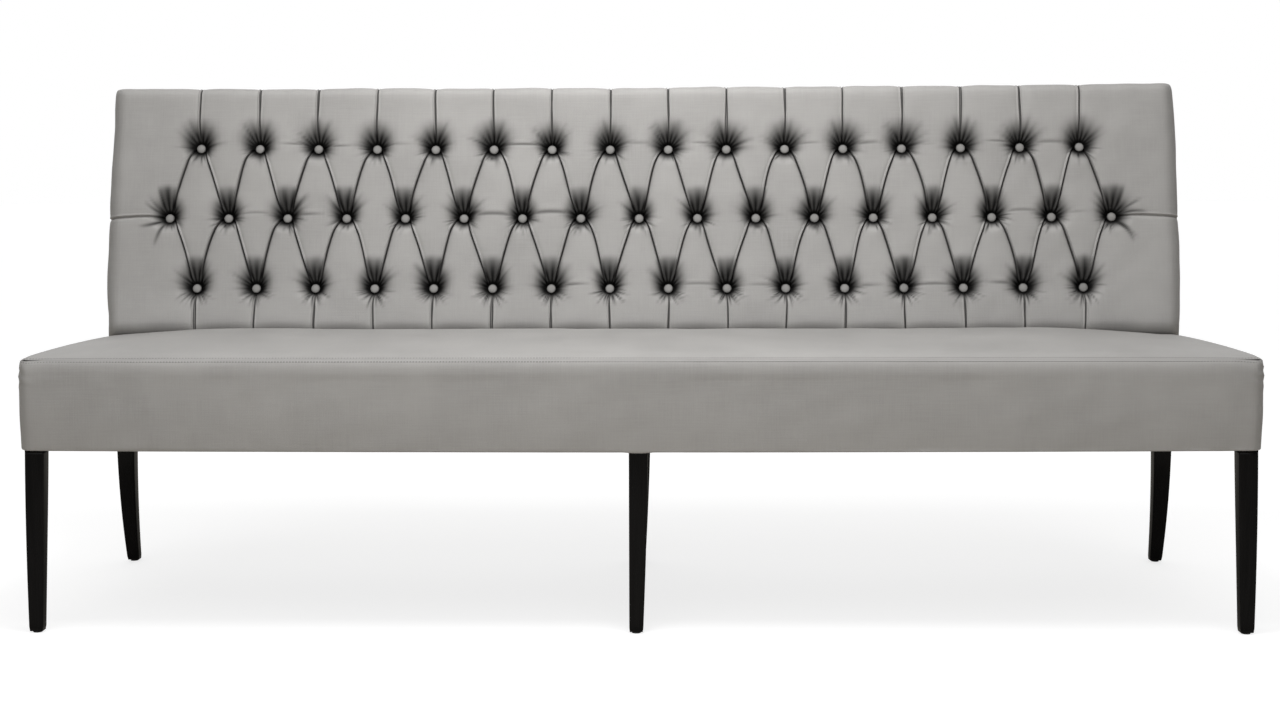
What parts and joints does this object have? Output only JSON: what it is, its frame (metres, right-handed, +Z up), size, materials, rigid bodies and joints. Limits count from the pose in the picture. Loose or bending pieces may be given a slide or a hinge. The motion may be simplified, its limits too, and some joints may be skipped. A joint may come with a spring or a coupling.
{
  "type": "upholstered banquette bench",
  "caption": "Long upholstered bench with a leaning deep-buttoned back, a plain crowned seat with an unbroken apron, and slim tapered black legs.",
  "frame": {"origin": "on the floor at the middle of the bench's bounding box", "axes": "+X along the bench to the right of someone facing it, +Y from the seat's front to the back, +Z up"},
  "size_m": [2.2, 0.69, 0.99],
  "materials": {
    "grey_faux_leather": "satin",
    "black_stained_wood": "satin",
    "black_nylon": "matte",
    "zinc_plated_steel": "satin",
    "webbing": "matte",
    "foam": "matte",
    "wadding": "matte",
    "black_cambric": "matte",
    "twine": "matte",
    "plywood": "matte",
    "pale_timber": "matte"
  },
  "bodies": {
    "root": {"leg_front_left": "black_stained_wood", "leg_front_centre": "black_stained_wood", "leg_front_right": "black_stained_wood", "leg_rear_left": "black_stained_wood", "leg_rear_centre": "black_stained_wood", "leg_rear_right": "black_stained_wood", "foot_glides": "black_nylon", "leg_block_front_left": "pale_timber", "leg_block_front_centre": "pale_timber", "leg_block_front_right": "pale_timber", "leg_block_rear_left": "pale_timber", "leg_block_rear_centre": "pale_timber", "leg_block_rear_right": "pale_timber", "leg_bolts": "zinc_plated_steel", "leg_nuts": "zinc_plated_steel", "seat_front_rail": "pale_timber", "seat_rear_rail": "pale_timber", "seat_left_rail": "pale_timber", "seat_right_rail": "pale_timber", "seat_cross_rail": "pale_timber", "webbing_left": "webbing", "webbing_right": "webbing", "seat_foam": "foam", "seat_wadding": "wadding", "seat_top_cover": "grey_faux_leather", "seat_border_cover": "grey_faux_leather", "dust_cover": "black_cambric", "stile_left": "pale_timber", "stile_mid_left": "pale_timber", "stile_mid_right": "pale_timber", "stile_right": "pale_timber", "back_top_rail": "pale_timber", "back_middle_rail": "pale_timber", "back_bottom_rail": "pale_timber", "back_board": "plywood", "back_foam": "foam", "tufted_cover": "grey_faux_leather", "back_end_cover_left": "grey_faux_leather", "back_end_cover_right": "grey_faux_leather", "back_top_cover": "grey_faux_leather", "outside_back_cover": "grey_faux_leather", "back_buttons": "grey_faux_leather", "button_twines": "twine", "stile_bolts": "zinc_plated_steel", "stile_nuts": "zinc_plated_steel"}
  },
  "joints": []
}
